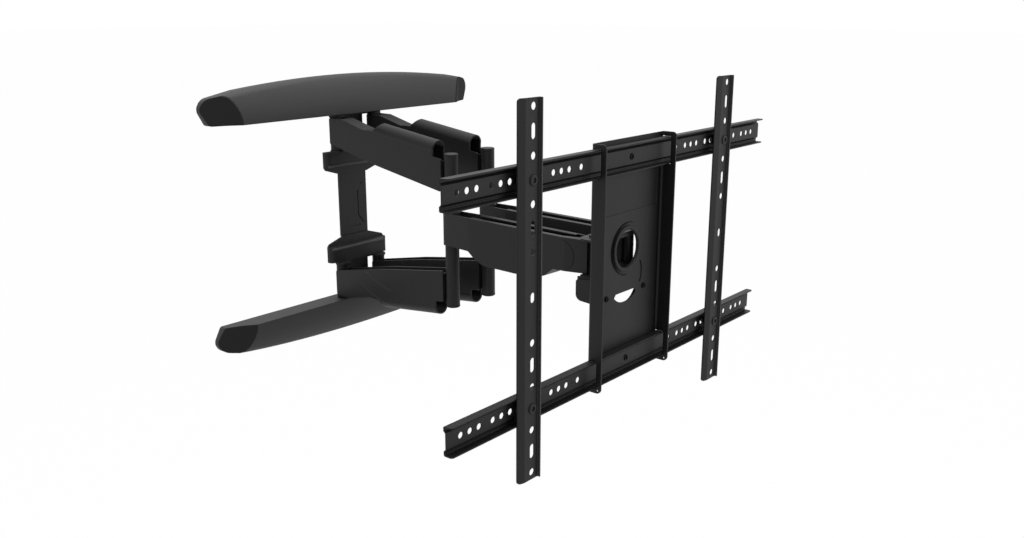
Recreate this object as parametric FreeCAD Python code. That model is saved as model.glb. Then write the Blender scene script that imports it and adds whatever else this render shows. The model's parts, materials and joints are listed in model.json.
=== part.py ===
import FreeCAD, Part
import math
import os

# A full-motion wall mount for a flat screen. Two pairs of folding arms join a wall bracket to a head that
# tilts a panel with two horizontal rails and two upright rails.
# Frame: millimetres, origin on the wall at the middle of the wall bracket, +X right seen from the front,
# +Y into the wall, +Z up. The screen faces -Y.

V = FreeCAD.Vector

# Arms
arm_pitch = 242.2          # from pivot to pivot, rear and front arms alike, so that they close when folded
swing_angle = 2.4          # sideways lean of both arms as they stand
pivot_spread = 73.5        # between the left and the right pivots, at wall, elbow and head
shoulder_from_wall = 19.0
head_to_screen = 38.0      # head pivots to the plane that the screen rests on
sheet = 2.2                # pressed steel of arms
tube_radius = 9.5          # knuckle tubes that make up the elbow posts
pin_radius = 6.0
running_clearance = 0.05   # radial, pin to tube
washer_thickness = 0.8

# Elbow posts
post_half_height = 106.0
middle_knuckle_half = 48.0
post_cap_height = 2.5

# Rear wings, upper one; the lower one is its mirror image
wing_root_inner = 97.0     # height of the inner edge at the wall
wing_bend_inner = 76.3
wing_tip_inner = 54.5
wing_root_outer = 135.2
wing_dip_outer = 124.0
wing_bend_along = 100.0    # distance from the shoulder to the bend of the inner edge
wing_crest_along = 27.0
wing_dip_along = 75.0
wing_back = 2.0            # plate behind the shoulder pivot
wing_elbow_gap = 8.0       # plate end short of the elbow pivot
spine_radius = 12.0        # rolled tubular back of the wing
spine_start_along = 97.0
spine_ramp = 14.0
spine_elbow_gap = 24.0     # spine end short of the elbow pivot
spine_tip_height = 109.5   # height of the spine's axis at the elbow end
spine_slope = 7.0          # degrees
spine_step = 9.0           # plate's outer edge below the spine's axis, past the spine's end

# Front arms
front_top = 27.0
front_keel = -32.7         # lowest edge
front_heel = -17.5         # bottom edge beside the elbow
front_toe = -13.7          # bottom edge beside the head
front_half_width = 14.5
front_lip = 5.0
front_flare = 46.0         # length over which the arm narrows to its elbow tube
front_taper = 34.0         # length over which it narrows to its head tube
keel_start = 64.0
keel_straight_end = 130.0
keel_end = 176.0
toe_start = 190.0

# Wall bracket
bracket_sheet = 2.5
column_half_width = 26.4
column_standoff = 8.0      # front face of the column from the wall
column_sheet = 4.0
recess_depth = 2.0         # of the groove pressed beside the column's edge
dot_radius = 1.1
neck_half_width = 22.0
foot_half_width = 56.5
foot_inner = 48.0          # height where the foot leaves the column
foot_shoulder = 56.5
foot_outer = 84.5
foot_corner = 6.0          # upright corners of the pressed foot
shelf_height = 63.0
lip_standoff = 18.6        # front of the foot's lip from the wall
lip_round = 4.0            # bend between the foot's shelf and its lip
lug_thickness = 3.0
lug_outer = 136.0
lug_margin = 1.6           # lug round the pin's tube

# Wall rails and covers
wall_rail_inner = 147.0
wall_rail_height = 23.0
wall_rail_depth = 16.0
wall_rail_half_length = 222.0
wall_hole_spacing = 406.4
wall_hole_radius = 4.5
wall_slot_length = 34.0
wall_slot_spacing = 80.0
cover_inner = 140.3
cover_centre_outer = 196.5
cover_end_outer = 178.0
cover_half_length = 259.0
cover_depth = 32.5
cover_wall = 2.4
cover_face_radius = 75.0   # bulge of the front face, seen from the end
cover_round = 15.0         # rounding of the long outer edge
cover_facet = 50.0         # length of the slanted end, measured along the cover
cover_fold_along = 15.0    # steeper leaf of the end, beside the front face
cover_fold_depth = 22.0    # depth where the end's two leaves meet
cover_fold_round = 60.0
cover_tip_depth = 8.0      # blunt tip in front of the wall
cover_tip_round = 17.0
cover_nose_round = 12.0
cover_tip_slope = 8.0      # how far the outer corner stands back from the tip
cover_tip_rise = 22.0      # height of the tip above the cover's inner edge
cover_tip_back = 12.0      # how far the inner corner stands back from the tip
cap_lap = 1.2              # thickness of the end cap, square to its face
cap_gap = 0.3
cover_notch_gap = 0.5      # round the column where it passes into the cover
cover_rail_gap = 1.0       # between the cover's slanted ends and the wall rail inside

# Head
knuckle_top = 27.5
knuckle_bottom = -14.5
head_tube_radius = 6.5
head_pin_radius = 4.0
pin_head_radius = 8.0
head_pin_head = 6.5
pin_head_height = 2.6
shoulder_head_height = 0.9
yoke_sheet = 2.6
yoke_half_width = 56.0
yoke_front = 22.8          # depth of the yoke's front web behind the screen plane
yoke_back = 50.0
yoke_side_back = 27.5      # back edge of the yoke's side walls, clear of the folded arms
yoke_window_half = 34.0
ear_drop = 43.5            # lowest edge of the tilt ears
tilt_height = -31.0
tilt_depth = 38.0
tilt_pin_radius = 4.0
tilt_ear_round = 8.0
tilt_ear_gap = 0.4
tilt_plate_top = -12.0
tilt_plate_bottom = -66.0

# Panel
panel_half_width = 75.0
panel_half_height = 147.5
panel_sheet = 2.0
panel_face = 16.5          # depth of the panel's face behind the screen plane
panel_rim = -2.4           # front edge of the panel's side walls
panel_bend = 5.0
panel_recess_left = -47.0
panel_recess_right = 64.0
panel_recess_low = 58.5
panel_recess_high = 103.0
panel_recess_depth = 0.7
ring_height = 13.0
ring_hole_radius = 22.4
ring_lip_round = 2.2
ring_rim_radius = 28.6
ring_rim_depth = 2.4
crescent_radius = 33.0
crescent_width = 4.3       # of the crescent groove left of the ring
groove_depth = 1.5         # of the grooves pressed round the ring
slit_radius = 29.0
slit_width = 2.6           # of the curved groove below the ring, on the right
slit_x = 7.0
slit_z = -21.0
slit_half = 13.5
ring_neck_wall = 2.0
moon_chord = -40.7
moon_bottom = -54.0
moon_half_width = 23.5
moon_corner = 4.2
panel_screw_x = 40.0
panel_screw_z = -41.7

# Rails
rail_height_from_centre = 125.0
rail_half_length = 321.5
rail_half_height = 16.5
rail_web_half = 11.2
rail_sheet = 1.3
rail_step = 2.5
rail_lip_depth = 5.0       # depth of the lips' edges behind the screen plane
rail_hole_radius = 3.6
rail_group_pitch = 50.0
rail_hole_pitch = 14.0
rail_groups = 5
rail_clearance = 0.6

# Upright rails
upright_x = 200.0
upright_half_height = 208.5
upright_outer = 13.0        # web's outer edge from the line of holes
upright_inner = 11.0
upright_wing = 9.0          # slanted wing outside the web
upright_sheet = 1.6
upright_lip = 3.2
upright_bend = 1.4          # inside the bend of the lip
round_hole_radius = 4.2
slot_hole_radius = 3.7
slot_length = 16.8
centre_slot_length = 11.5
hole_pitch = 50.0

# Bolts
bolt_radius = 3.0
bolt_head_radius = 6.2
bolt_head_height = 1.4
centre_head_radius = 3.9
centre_head_height = 1.0
centre_socket_radius = 2.2
nut_radius = 5.8
nut_height = 5.0
spacer_radius = 7.0
screw_radius = 2.0
screw_head_radius = 3.6
screw_head_height = 1.8

lean = math.radians(swing_angle)
screen_x = -2 * arm_pitch * math.sin(lean)
screen_y = -(shoulder_from_wall + 2 * arm_pitch * math.cos(lean) + head_to_screen)
pivot_x = {"left": -pivot_spread / 2, "right": pivot_spread / 2}
arm_half_width = tube_radius + sheet
TO_POINT = {"xz": lambda a, b: V(a, 0, b), "yz": lambda a, b: V(0, a, b), "xy": lambda a, b: V(a, b, 0)}
NORMAL = {"xz": V(0, 1, 0), "yz": V(1, 0, 0), "xy": V(0, 0, 1)}
FAR = 400.0                # past any edge of the part that is being cut


def wire_of(points, plane):
    """A closed wire through (a, b) or (a, b, corner radius) points."""
    at = TO_POINT[plane]
    corners = [(at(p[0], p[1]), p[2] if len(p) > 2 else 0.0) for p in points]
    runs = []
    for i, (corner, radius) in enumerate(corners):
        if radius == 0:
            runs.append((corner, None, corner))
            continue
        before = (corners[i - 1][0] - corner).normalize()
        after = (corners[(i + 1) % len(corners)][0] - corner).normalize()
        half = before.getAngle(after) / 2
        reach = radius / math.tan(half)
        middle = corner + (before + after).normalize() * (radius / math.sin(half) - radius)
        runs.append((corner + before * reach, middle, corner + after * reach))
    edges = []
    for i, (start, middle, end) in enumerate(runs):
        if middle is not None:
            edges.append(Part.Arc(start, middle, end).toShape())
        follow = runs[(i + 1) % len(runs)][0]
        if end.distanceToPoint(follow) > 1e-6:
            edges.append(Part.LineSegment(end, follow).toShape())
    return Part.Wire(edges)


def prism(points, plane, low, high):
    """The outline, extruded square to its plane from low to high."""
    face = Part.Face(wire_of(points, plane))
    face.translate(NORMAL[plane] * low)
    return face.extrude(NORMAL[plane] * (high - low))


def block(x0, x1, y0, y1, z0, z1):
    return Part.makeBox(x1 - x0, y1 - y0, z1 - z0, V(x0, y0, z0))


def upright_cylinder(radius, x, y, low, high):
    return Part.makeCylinder(radius, high - low, V(x, y, low))


def upright_tube(outer, inner, x, y, low, high):
    return upright_cylinder(outer, x, y, low, high).cut(upright_cylinder(inner, x, y, low, high))


def along_y(radius, x, z, low, high):
    """A round bar from front to back."""
    return Part.makeCylinder(radius, high - low, V(x, low, z), V(0, 1, 0))


def slot_along(radius, length, x, z, low, high, direction):
    """A slotted cutter from front to back; direction is x or z."""
    half = length / 2 - radius
    shift = V(half, 0, 0) if direction == "x" else V(0, 0, half)
    ends = [along_y(radius, x, z, low, high).translated(shift * k) for k in (-1, 1)]
    wide = (half, radius) if direction == "x" else (radius, half)
    bar = block(x - wide[0], x + wide[0], low, high, z - wide[1], z + wide[1])
    return bar.multiFuse(ends)


def mirrored_z(shape):
    return shape.mirror(V(0, 0, 0), V(0, 0, 1))


def both_ends(shape):
    """An upper shape and its mirror image below."""
    return shape, mirrored_z(shape)


def mirrored_x(shape):
    return shape.mirror(V(0, 0, 0), V(1, 0, 0))


def on_rear_arm(shape, side):
    """Places a shape drawn with the shoulder at the origin and the arm along -Y."""
    placed = shape.copy()
    placed.rotate(V(0, 0, 0), V(0, 0, 1), -swing_angle)
    placed.translate(V(pivot_x[side], -shoulder_from_wall, 0))
    return placed


def on_front_arm(shape, side):
    """Places a shape drawn with the elbow at the origin and the arm along -Y."""
    placed = shape.copy()
    placed.translate(V(0, -arm_pitch, 0))
    return on_rear_arm(placed, side)


def on_head(shape):
    """Places a shape drawn with the middle of the screen plane at the origin."""
    return shape.translated(V(screen_x, screen_y, 0))


def write(name, *solids):
    shape = solids[0] if len(solids) == 1 else Part.makeCompound(list(solids))
    shape = shape.removeSplitter() if len(solids) == 1 else shape
    shape.exportStep("parts/" + name + ".step")


def pressed_wing():
    """Upper rear wing: two side plates joined by a strap and by a rolled tubular back with a closed nose."""
    tip = wing_elbow_gap - arm_pitch
    spine_tip = spine_elbow_gap - arm_pitch
    rise = math.tan(math.radians(spine_slope))
    spine_root_height = spine_tip_height + rise * (-spine_start_along - spine_tip)
    outline = [
        (wing_back, wing_root_inner, 3),
        (-wing_bend_along, wing_bend_inner, 300),
        (tip, wing_tip_inner, 3),
        (tip, spine_tip_height - spine_step - 2, 3),
        (spine_tip, spine_tip_height - spine_step),
        (spine_tip, spine_tip_height),
        (-spine_start_along, spine_root_height),
        (-wing_dip_along, wing_dip_outer, 12),
        (-wing_crest_along, wing_root_outer, 14),
        (wing_back, wing_root_outer, 3),
    ]
    inner = tube_radius
    plate = prism(outline, "yz", inner, arm_half_width)
    end_fold = block(-inner, inner, tip, tip + sheet, wing_tip_inner + 4, spine_tip_height - spine_step - 4)
    end_fold = end_fold.cut(upright_cylinder(tube_radius, 0, -arm_pitch, 0, FAR))
    plates = plate.multiFuse([mirrored_x(plate), end_fold])
    axis = V(0, spine_start_along + spine_tip, spine_tip_height - spine_root_height)
    spine_length = axis.Length
    base = V(0, -spine_start_along, spine_root_height)
    spine = Part.makeCylinder(spine_radius, spine_length, base, axis)
    hollow = Part.makeCylinder(spine_radius - sheet, spine_length + 2, base - axis.normalize(), axis)
    slope_start = prism([(-spine_start_along, 0), (-spine_start_along, spine_root_height),
                         (-spine_start_along - spine_ramp, spine_root_height + spine_radius + 1),
                         (-FAR, spine_root_height + spine_radius + 1), (-FAR, 0)], "yz", -FAR, FAR)
    mouth = prism([(0, 0), (0, spine_root_height + rise * spine_start_along - 1e-3),
                   (-FAR, spine_tip_height - rise * (FAR + spine_tip)), (-FAR, 0)], "yz", -inner, inner)
    nose = spine.common(slope_start).cut(slope_start.translated(V(0, -1.5 * sheet, 0)))
    nose = nose.cut(mouth.translated(V(0, 0, -1)))
    spine = spine.common(slope_start).cut(hollow.fuse(mouth))
    between = prism(outline, "yz", -inner, inner)
    strap = between.cut(between.translated(V(0, 0, -sheet)))
    strap = strap.common(block(-inner, inner, -spine_start_along - 1.2 * sheet, 5 - wing_crest_along,
                               wing_dip_outer - 8, FAR))
    return plates.multiFuse([spine, nose, strap])


def front_arm():
    """Front arm: a U channel, open on top, wrapped round its elbow tube and drawn in to its head tube."""
    wide = front_half_width

    def plan(inset):
        half = [(arm_half_width - inset, 0), (wide - inset, -front_flare),
                (wide - inset, front_taper - arm_pitch),
                (head_tube_radius + sheet - inset, -arm_pitch)]
        return half + [(-x, y) for x, y in reversed(half)]

    def side_view(lift, top):
        toe = head_tube_radius / 2 - arm_pitch
        return [(0, front_heel + lift), (-keel_start + 20, front_heel + lift, 6),
                (-keel_start + 10, front_keel / 2 + front_heel / 2 + lift, 8),
                (-keel_start - 8, front_keel + lift, 14), (-keel_straight_end, front_keel + lift, 60),
                (-keel_end, front_keel + 6 + lift, 9), (-toe_start, front_toe - 1.5 + lift, 6),
                (toe, front_toe + lift), (toe, top), (0, top)]

    outer = prism(plan(0), "xy", -FAR, FAR).common(prism(side_view(0, front_top), "yz", -FAR, FAR))
    void = prism(plan(sheet), "xy", -FAR, FAR).common(prism(side_view(sheet, FAR), "yz", -FAR, FAR))
    lip_band = prism(plan(0), "xy", front_top - sheet, front_top)
    lip_band = lip_band.cut(prism(plan(sheet + front_lip), "xy", -FAR, FAR)).common(outer)
    lip_band = lip_band.common(block(-FAR, FAR, front_taper - arm_pitch, -front_flare, -FAR, FAR))
    wrap = upright_cylinder(arm_half_width, 0, 0, front_heel, front_top)
    tubes = upright_cylinder(tube_radius, 0, 0, -FAR, FAR)
    tubes = tubes.fuse(upright_cylinder(head_tube_radius, 0, -arm_pitch, -FAR, FAR))
    return outer.cut(void).multiFuse([lip_band, wrap]).cut(tubes)


def shoulder_bracket():
    """Upper shoulder bracket: a pressed foot on the column, closed at its ends, and two lugs for the pins."""
    back = -column_standoff
    half = foot_half_width
    outline = [(column_half_width, foot_inner), (half - 3, foot_shoulder, 3), (half, foot_shoulder + 4, 3),
               (half, foot_outer, 2), (neck_half_width, foot_outer),
               (neck_half_width, lug_outer + lug_thickness)]
    outline += [(-p[0], p[1], p[2] if len(p) > 2 else 0) for p in reversed(outline)]
    plate = prism(outline, "xz", back - bracket_sheet, back)

    def pressed_box(inset, top):
        lip = inset - lip_standoff
        floor = shelf_height - bracket_sheet + inset
        side = [(back - inset, floor), (lip, floor, lip_round - inset), (lip, top), (back - inset, top)]
        plan = [(inset - half, back - inset), (half - inset, back - inset),
                (half - inset, lip, foot_corner - inset), (inset - half, lip, foot_corner - inset)]
        return prism(side, "yz", -FAR, FAR).common(prism(plan, "xy", -FAR, FAR))

    foot = pressed_box(0, foot_outer).cut(pressed_box(bracket_sheet, FAR))
    lugs = [pin_lug(low) for low in (foot_outer, lug_outer)]
    return plate.multiFuse([foot] + lugs)


def pin_lug(low):
    """A flat lug across both shoulder pins, round at its ends and notched between them."""
    reach = tube_radius + lug_margin
    x = pivot_spread / 2
    y = -shoulder_from_wall
    half = [(neck_half_width, -column_standoff), (x + reach, y + reach * 0.5, reach * 0.5),
            (x + reach, y - reach, reach * 0.98), (x - reach, y - reach, reach * 0.7),
            (x - reach, y + 2, 3)]
    outline = half + [(-p[0], *p[1:]) for p in reversed(half)]
    lug = prism(outline, "xy", low, low + lug_thickness)
    for side in pivot_x:
        lug = lug.cut(upright_cylinder(pin_radius + running_clearance, pivot_x[side], y, low,
                                       low + lug_thickness))
    return lug


def wall_column():
    """The column: a flat plate from wall rail to wall rail, wider between the feet, with a pressed groove."""
    wide = column_half_width
    neck = neck_half_width
    outline = [(wide, -foot_inner), (wide, foot_inner), (neck, foot_inner + 6), (neck, wall_rail_inner)]
    outline = outline + [(-x, z) for x, z in reversed(outline)]
    right = [(neck, -wall_rail_inner), (neck, -foot_inner - 6)]
    outline = right + outline + [(-x, z) for x, z in reversed(right)]
    column = prism(outline, "xz", -column_standoff, column_sheet - column_standoff)
    groove = [(8, 19), (9.4, 19), (9.4, -19.5), (19.2, -32.4), (18.2, -33.4), (8, -20)]
    crease = [(-9.7, -36.4), (12.2, -36.8), (12.2, -35.2), (-9.7, -34.8)]
    for mark, depth in ((groove, recess_depth), (crease, recess_depth / 3)):
        column = column.cut(prism(mark, "xz", -column_standoff, depth - column_standoff))
    return column.cut(along_y(dot_radius, 16.2, 29.1, -column_standoff, recess_depth - column_standoff))


def wall_rail():
    """Upper wall rail: a channel with round holes at the stud spacing and slots between them."""
    low = wall_rail_inner
    high = wall_rail_inner + wall_rail_height
    half = wall_rail_half_length
    rail = block(-half, half, -wall_rail_depth, 0, low, high)
    rail = rail.cut(block(-half, half, -wall_rail_depth, -bracket_sheet, low + bracket_sheet,
                          high - bracket_sheet))
    middle = (low + high) / 2
    for x in (-wall_hole_spacing / 2, wall_hole_spacing / 2):
        rail = rail.cut(along_y(wall_hole_radius, x, middle, -bracket_sheet, 0))
    for k in (-2, -1, 0, 1, 2):
        slot = slot_along(wall_hole_radius, wall_slot_length, k * wall_slot_spacing, middle,
                          -bracket_sheet, 0, "x")
        rail = rail.cut(slot)
    ends = cover_facet_plane(cover_wall + cover_rail_gap)
    return rail.cut(ends).cut(mirrored_x(ends))


def cover_facet_plane(depth):
    """A cutter for all in front of the cover's folded right end, sunk by the depth."""
    run = cover_facet - cover_fold_along
    slope = (cover_fold_depth - cover_tip_depth) / run
    steep = (cover_depth - cover_fold_depth) / cover_fold_along
    fold = (cover_half_length - run, depth * math.hypot(1, slope) - cover_fold_depth)
    near = (fold[0] - FAR, fold[1] - steep * FAR)
    far = (fold[0] + FAR, fold[1] + slope * FAR)
    outline = [near, (*fold, cover_fold_round), far, (far[0], -3 * FAR), (near[0], -3 * FAR)]
    return prism(outline, "xy", 0, FAR)


def bow_height(x):
    """Height of the cover's bowed outer edge."""
    rise = cover_centre_outer - cover_end_outer
    radius = (cover_half_length ** 2 + rise ** 2) / (2 * rise)
    return cover_centre_outer - radius + math.sqrt(radius ** 2 - x ** 2)


def cover_form(inset):
    """The bow-shaped outside of the upper cover, smaller all round by the inset."""
    half = cover_half_length - inset
    inner = cover_inner + inset
    end = cover_end_outer - inset
    start, top, finish = V(-half, 0, end), V(0, 0, cover_centre_outer - inset), V(half, 0, end)
    edges = [Part.Arc(start, top, finish).toShape(), Part.LineSegment(finish, V(half, 0, inner)).toShape(),
             Part.LineSegment(V(half, 0, inner), V(-half, 0, inner)).toShape(),
             Part.LineSegment(V(-half, 0, inner), start).toShape()]
    bow = Part.Face(Part.Wire(edges)).extrude(V(0, -cover_depth, 0))
    radius = cover_face_radius - inset
    bulge = Part.makeCylinder(radius, 2 * FAR, V(-FAR, cover_face_radius - cover_depth, cover_inner),
                              V(1, 0, 0))
    form = bow.common(bulge)
    middles = [(e, e.CenterOfMass) for e in form.Edges if e.Length > half]
    form = form.makeFillet(cover_round - inset, [e for e, at in middles if at.z > end and at.y < -1])
    tip_height = cover_inner + cover_tip_rise
    shoulder = half - 4 * cover_tip_round
    clear = cover_centre_outer + 5
    right = [(half - cover_tip_back, inner, 5), (half, tip_height, cover_nose_round - inset),
             (half - cover_tip_slope, end - 2, cover_tip_round - inset),
             (shoulder, bow_height(shoulder) - inset + 1), (shoulder, clear)]
    tip = right + [(-p[0], *p[1:]) for p in reversed(right)]
    return form.common(prism(tip, "xz", -cover_depth, 0))


def cover_shell():
    """The hollow cover, notched where the column passes through its inner wall."""
    half = neck_half_width + cover_notch_gap
    depth = column_standoff + cover_notch_gap
    notch = block(-half, half, -depth, 0, cover_inner, cover_inner + cover_wall)
    shell = cover_form(0)
    hollow = cover_form(cover_wall)
    outside = cover_facet_plane(0)
    inside = cover_facet_plane(cover_wall)
    shell = shell.cut(outside).cut(mirrored_x(outside))
    hollow = hollow.cut(inside).cut(mirrored_x(inside))
    return shell.cut(hollow).cut(notch)


def head_yoke():
    """The yoke that both front arms pivot on: two plates, a web with a window, sides and two tilt ears."""
    half = yoke_half_width
    top = knuckle_top + washer_thickness
    bottom = knuckle_bottom - washer_thickness
    floor = [(-half, yoke_front), (half, yoke_front), (half, yoke_back, 12), (-half, yoke_back, 12)]
    plates = [prism(floor, "xy", top, top + yoke_sheet), prism(floor, "xy", bottom - yoke_sheet, bottom)]
    web = block(-half, half, yoke_front, yoke_front + yoke_sheet, bottom - yoke_sheet, top + yoke_sheet)
    window = [(-yoke_window_half, bottom + 3, 6), (yoke_window_half, bottom + 3, 6),
              (yoke_window_half, top - 3, 6),
              (-yoke_window_half, top - 3, 6)]
    web = web.cut(prism(window, "xz", yoke_front, yoke_front + yoke_sheet))
    ear = prism([(tilt_depth - 10, bottom), (tilt_depth - 10, -ear_drop, tilt_ear_round),
                 (tilt_depth + 10, -ear_drop, tilt_ear_round), (tilt_depth + 10, bottom)], "yz",
                 half - yoke_sheet, half)
    side_wall = block(half - yoke_sheet, half, yoke_front, yoke_side_back, bottom - yoke_sheet,
                      top + yoke_sheet)
    yoke = plates[0].multiFuse([plates[1], web, ear, mirrored_x(ear), side_wall, mirrored_x(side_wall)])
    for side in pivot_x:
        yoke = yoke.cut(upright_cylinder(head_pin_radius + running_clearance, pivot_x[side],
                                         head_to_screen, -FAR, FAR))
    return yoke.cut(tilt_bore(tilt_pin_radius + running_clearance))


def tilt_bore(radius):
    return Part.makeCylinder(radius, 2 * FAR, V(-FAR, tilt_depth, tilt_height), V(1, 0, 0))


def tilt_bracket():
    """A plate on the panel's back with an ear outside each ear of the yoke."""
    back = panel_face + panel_sheet
    inner = yoke_half_width + tilt_ear_gap
    half = inner + yoke_sheet
    plate = prism([(-half, tilt_plate_bottom, 6), (half, tilt_plate_bottom, 6), (half, tilt_plate_top, 6),
                   (-half, tilt_plate_top, 6)], "xz", back, back + yoke_sheet)
    notch = along_y(ring_hole_radius + 4, 0, ring_height, back, back + yoke_sheet)
    plate = plate.cut(notch).cut(moon_hole(back, back + yoke_sheet, 3))
    ear = prism([(back + yoke_sheet / 2, -ear_drop - 2), (tilt_depth + 10, -ear_drop, tilt_ear_round),
                 (tilt_depth + 10, tilt_height + 12.5, 3), (tilt_depth - 4, tilt_height + 14, 4),
                 (back + yoke_sheet / 2, tilt_height + 14)], "yz", inner, half)
    bracket = plate.multiFuse([ear, mirrored_x(ear)])
    for x in (-panel_screw_x, panel_screw_x):
        bracket = bracket.cut(along_y(screw_radius + running_clearance, x, panel_screw_z, back,
                                      back + yoke_sheet))
    return bracket


def moon_hole(low, high, grow):
    """The half-moon opening below the ring."""
    w = moon_half_width + grow
    top = moon_chord + grow
    shoulder = top - moon_corner
    corner = w - moon_corner * 0.8
    at = TO_POINT["xz"]
    edges = [Part.LineSegment(at(-w, shoulder), at(-corner, top)).toShape(),
             Part.LineSegment(at(-corner, top), at(corner, top)).toShape(),
             Part.LineSegment(at(corner, top), at(w, shoulder)).toShape(),
             Part.Arc(at(w, shoulder), at(0, moon_bottom - grow), at(-w, shoulder)).toShape()]
    face = Part.Face(Part.Wire(edges))
    face.translate(V(0, low, 0))
    return face.extrude(V(0, high - low, 0))


def crescent(radius, x, z, width, drop):
    """A crescent cutter into the panel's face, thickest on its left, or on its right if the width is negative."""
    full = along_y(radius, x, z, panel_face, panel_face + groove_depth)
    smaller = radius - abs(width) / 4
    return full.cut(along_y(smaller, x + width * 0.75, z - drop, panel_face - 1,
                            panel_face + panel_sheet + 1))


def panel():
    """The centre panel: a channel open to the front, with windows in its walls for the rails."""
    half = panel_half_width
    back = panel_face + panel_sheet
    bend = panel_bend
    outer = [(-half, panel_rim), (half, panel_rim), (half, back, bend), (-half, back, bend)]
    inside = half - panel_sheet
    inner = [(-inside, panel_rim), (inside, panel_rim), (inside, panel_face, bend - panel_sheet),
             (-inside, panel_face, bend - panel_sheet)]
    high = panel_half_height
    shape = prism(outer, "xy", -high, high).cut(prism(inner, "xy", -high, high))
    rounded = prism([(panel_rim, -high, 6), (back, -high, 6), (back, high, 2), (panel_rim, high, 5)],
                    "yz", -FAR, FAR)
    shape = shape.common(rounded)
    recess = [(panel_recess_left, panel_recess_low, 2), (panel_recess_right, panel_recess_low, 2),
              (panel_recess_right, panel_recess_high, 2), (panel_recess_left, panel_recess_high, 11)]
    shape = shape.cut(prism(recess, "xz", panel_face, panel_face + panel_recess_depth))
    gap = rail_half_height + rail_clearance
    for z in (-rail_height_from_centre, rail_height_from_centre):
        window = block(-FAR, FAR, rail_lip_depth - rail_clearance, panel_face, z - gap, z + gap)
        shape = shape.cut(window)
        shape = shape.cut(along_y(bolt_radius + running_clearance, 0, z, panel_face, back))
    shape = shape.cut(along_y(ring_hole_radius + ring_neck_wall, 0, ring_height, panel_face, back))
    shape = shape.cut(moon_hole(panel_face, back, 0))
    shape = shape.cut(crescent(crescent_radius, 0, ring_height, crescent_width, 0.5))
    slit = crescent(slit_radius, slit_x, slit_z, -slit_width, 0)
    shape = shape.cut(slit.common(block(0, FAR, 0, FAR, slit_z - slit_half, slit_z + slit_half)))
    for x in (-panel_screw_x, panel_screw_x):
        shape = shape.cut(along_y(screw_radius + running_clearance, x, panel_screw_z, panel_face, back))
    hole_z = -(rail_height_from_centre + rail_half_height) - 2.6
    tab_hole = Part.makeCylinder(1.3, 2 * FAR, V(-FAR, panel_rim + 5, hole_z), V(1, 0, 0))
    return shape.cut(tab_hole)


def cable_ring():
    """The rounded ring that lines the panel's round opening."""
    r = ring_hole_radius
    neck = r + ring_neck_wall
    rim = ring_rim_radius
    face = panel_face
    front = face - ring_rim_depth
    points = [(r, face + panel_sheet), (r, front, ring_lip_round), (rim, front, ring_lip_round), (rim, face), (neck, face),
              (neck, face + panel_sheet)]
    wire = wire_of(points, "xy")
    ring = Part.Face(wire).revolve(V(0, 0, 0), V(0, 1, 0), 360)
    return ring.translated(V(0, 0, ring_height))


def horizontal_rail():
    """Upper horizontal rail: a rolled channel with a raised web, base strips and forward lips."""
    front = panel_face - rail_sheet - rail_step
    base = panel_face
    web = rail_web_half
    edge = rail_half_height
    t = rail_sheet
    outside = [(base, -edge, 2), (base, -web), (front + t, -web + rail_step),
               (front + t, web - rail_step), (base, web),
               (base, edge, 2), (rail_lip_depth, edge)]
    inside = [(rail_lip_depth, edge - t), (base - t, edge - t, 0.6), (base - t, web + t * 0.4),
              (front, web - rail_step + t * 0.4), (front, -web + rail_step - t * 0.4),
              (base - t, -web - t * 0.4),
              (base - t, -edge + t, 0.6), (rail_lip_depth, -edge + t)]
    profile = outside + inside + [(rail_lip_depth, -edge)]
    rail = prism(profile, "yz", -rail_half_length, rail_half_length)
    corner = prism([(-rail_half_length, rail_lip_depth, 4), (rail_half_length, rail_lip_depth, 4),
                    (rail_half_length, base), (-rail_half_length, base)], "xy", -edge, edge)
    rail = rail.common(corner)
    for group in range(rail_groups):
        outermost = 2 * rail_group_pitch * 3 - group * rail_group_pitch
        for k in range(3 if group < rail_groups - 1 else 1):
            for sign in (-1, 1):
                x = sign * (outermost - k * rail_hole_pitch)
                rail = rail.cut(along_y(rail_hole_radius, x, 0, front, front + t))
    rail = rail.cut(along_y(bolt_radius + running_clearance, 0, 0, front, front + t))
    return rail.translated(V(0, 0, rail_height_from_centre))


def upright_rail():
    """An upright rail: flat web with a fixing pattern, a wing slanted back and a lip turned forward."""
    t = upright_sheet
    high = upright_half_height
    back = rail_lip_depth - rail_clearance
    edge = -upright_outer - upright_wing
    section = [(edge, back - t), (-upright_outer, 0, 3), (upright_inner - t, 0, upright_bend),
               (upright_inner - t, -upright_lip), (upright_inner, -upright_lip),
               (upright_inner, t, upright_bend + t), (-upright_outer, t, 1), (edge, back)]
    rail = prism(section, "xy", -high, high)
    front_view = [(edge, -high, 4), (upright_inner, -high, 1), (upright_inner, high, 1), (edge, high, 4)]
    rail = rail.common(prism(front_view, "xz", -FAR, FAR))
    for z in (-rail_height_from_centre, rail_height_from_centre):
        rail = rail.cut(along_y(bolt_radius + running_clearance, 0, z, 0, t))
    for sign in (-1, 1):
        for k in (1, 2, 3, 4):
            rail = rail.cut(along_y(round_hole_radius, 0, sign * k * hole_pitch, 0, t))
        for k in (1.5, 3.5):
            rail = rail.cut(slot_along(slot_hole_radius, slot_length, 0, sign * k * hole_pitch, 0, t, "z"))
    return rail.cut(slot_along(slot_hole_radius, centre_slot_length, 0, 0, 0, t, "z"))


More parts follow.
